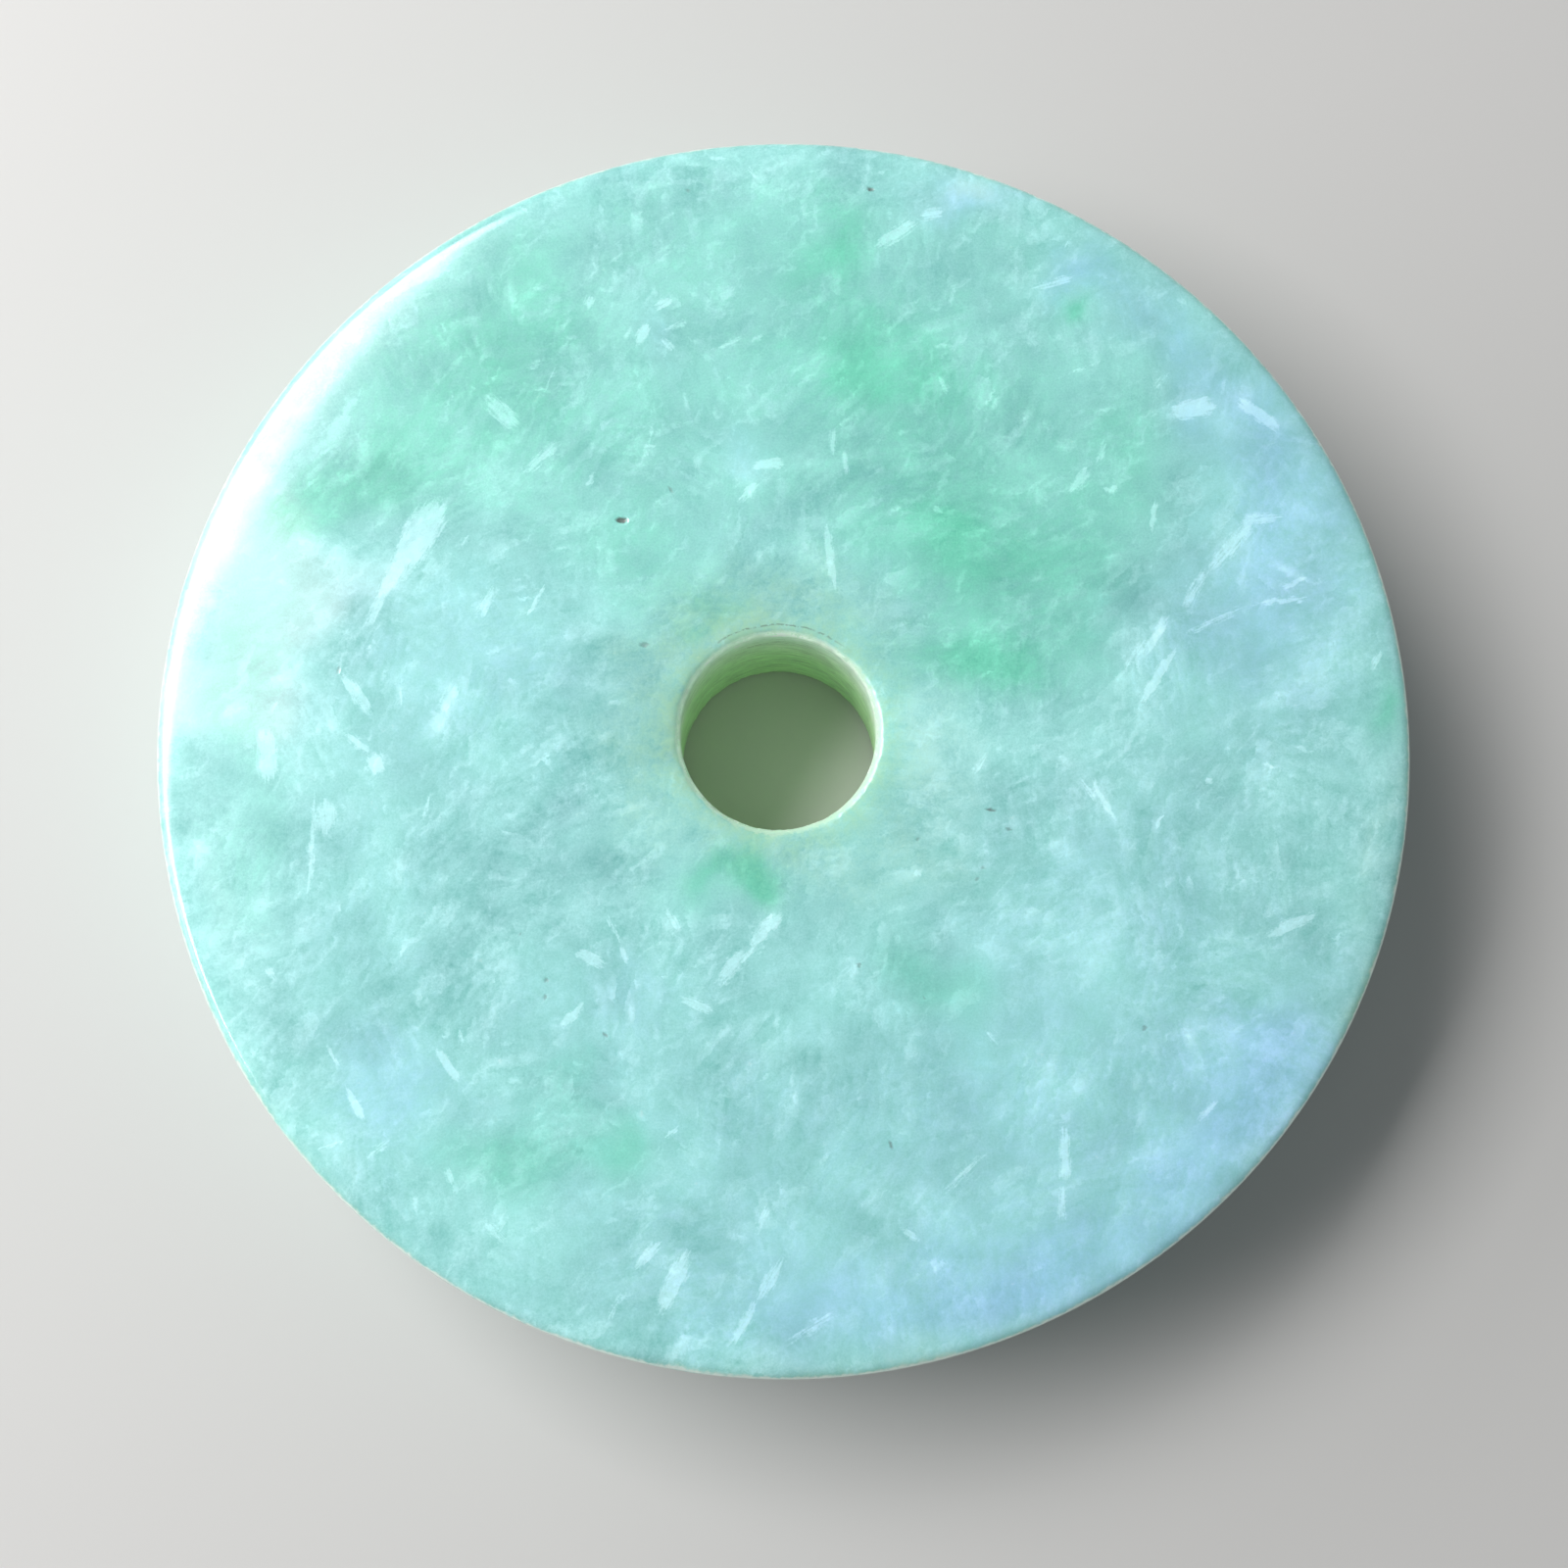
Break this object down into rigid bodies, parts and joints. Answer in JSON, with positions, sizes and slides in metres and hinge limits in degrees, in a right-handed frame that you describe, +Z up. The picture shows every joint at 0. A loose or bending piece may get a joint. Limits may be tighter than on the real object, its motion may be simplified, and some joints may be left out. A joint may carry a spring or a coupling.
{
  "type": "jade bi disc",
  "caption": "Thick round disc of mottled pale green jade with flat polished faces, soft edges and a round central hole for a cord.",
  "frame": {"origin": "middle of the disc's round outline, on its underside, where it rests", "axes": "+Z up through the thickness, out of the face that the picture shows; +Y points to the top of the picture and +X to its right"},
  "size_m": [0.058, 0.058, 0.0105],
  "materials": {
    "jade": "polished"
  },
  "bodies": {
    "root": {"bi_disc": "jade"}
  },
  "joints": []
}
